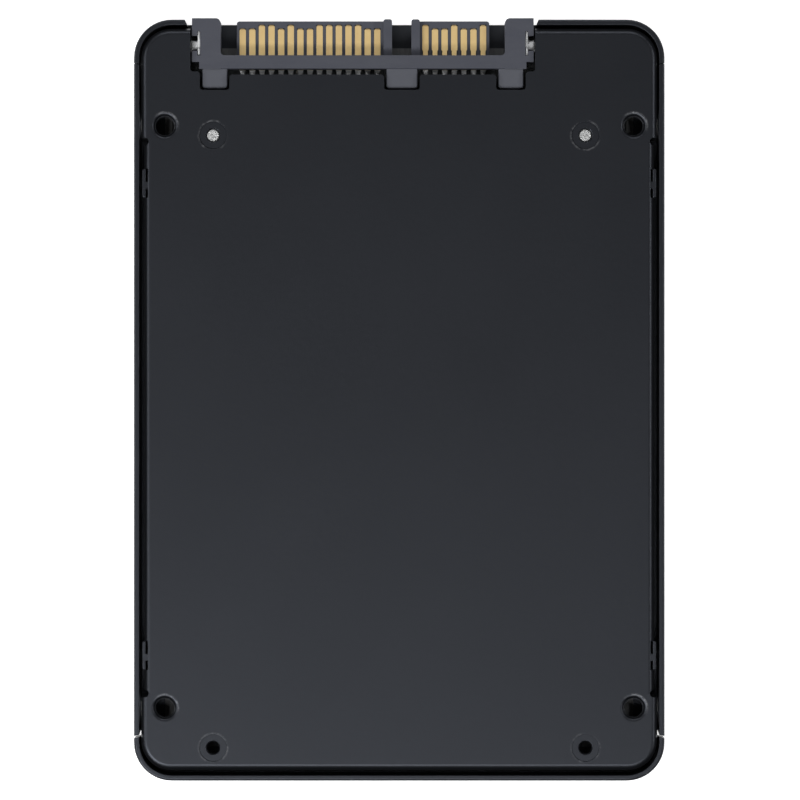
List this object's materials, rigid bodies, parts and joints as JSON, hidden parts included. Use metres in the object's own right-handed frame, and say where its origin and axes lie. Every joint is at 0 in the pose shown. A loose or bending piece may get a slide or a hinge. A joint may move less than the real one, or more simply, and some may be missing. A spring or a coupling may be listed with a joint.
{
  "type": "solid state drive",
  "caption": "Thin 2.5 inch solid state drive in a black pressed metal case, with a recessed power and data plug at one end.",
  "frame": {"origin": "centre of the label face, the flat outside of the cover that the drive lies on", "axes": "+Z out of the mounting face, +Y out of the connector end, +X to the right seen from above the mounting face"},
  "size_m": [0.0698, 0.1004, 0.007],
  "materials": {
    "case_paint": "satin black powder paint on pressed steel",
    "label_film": "plain matte printed film, left blank",
    "insulating_film": "thin dark grey polyester",
    "board": "black solder mask on glass laminate",
    "standoff_paint": "painted with the plate",
    "screw_steel": "zinc plated",
    "plug_plastic": "glass-filled black nylon, slightly blue",
    "contact_gold": "gold plated copper alloy",
    "tinned_brass": "bright tin plate",
    "chip_resin": "black moulded epoxy",
    "thermal_pad": "soft grey silicone gap filler",
    "crystal_can": "nickel lid",
    "ferrite": "dark sintered ferrite",
    "capacitor_ceramic": "tan barium titanate with tinned ends",
    "resistor_film": "black glazed alumina with tinned ends"
  },
  "bodies": {
    "root": {"cover": "case_paint", "base_plate": "case_paint", "label": "label_film", "insulating_film": "insulating_film", "circuit_board": "board", "board_standoff_left": "standoff_paint", "spare_standoff_left": "standoff_paint", "board_screw_left": "screw_steel", "board_standoff_right": "standoff_paint", "spare_standoff_right": "standoff_paint", "board_screw_right": "screw_steel", "plug_housing": "plug_plastic", "power_contacts_long": "contact_gold", "power_contacts_short": "contact_gold", "signal_contacts_long": "contact_gold", "signal_contacts_short": "contact_gold", "board_lock_left": "tinned_brass", "board_lock_right": "tinned_brass", "controller_chip": "chip_resin", "flash_chip_upper_left": "chip_resin", "flash_chip_lower_left": "chip_resin", "flash_thermal_pad_left": "thermal_pad", "flash_chip_upper_right": "chip_resin", "flash_chip_lower_right": "chip_resin", "flash_thermal_pad_right": "thermal_pad", "controller_thermal_pad": "thermal_pad", "firmware_chip": "chip_resin", "power_regulator": "chip_resin", "input_protector": "chip_resin", "clock_crystal": "crystal_can", "power_inductors": "ferrite", "bulk_capacitors": "capacitor_ceramic", "ceramic_capacitors": "capacitor_ceramic", "chip_resistors": "resistor_film"}
  },
  "joints": []
}
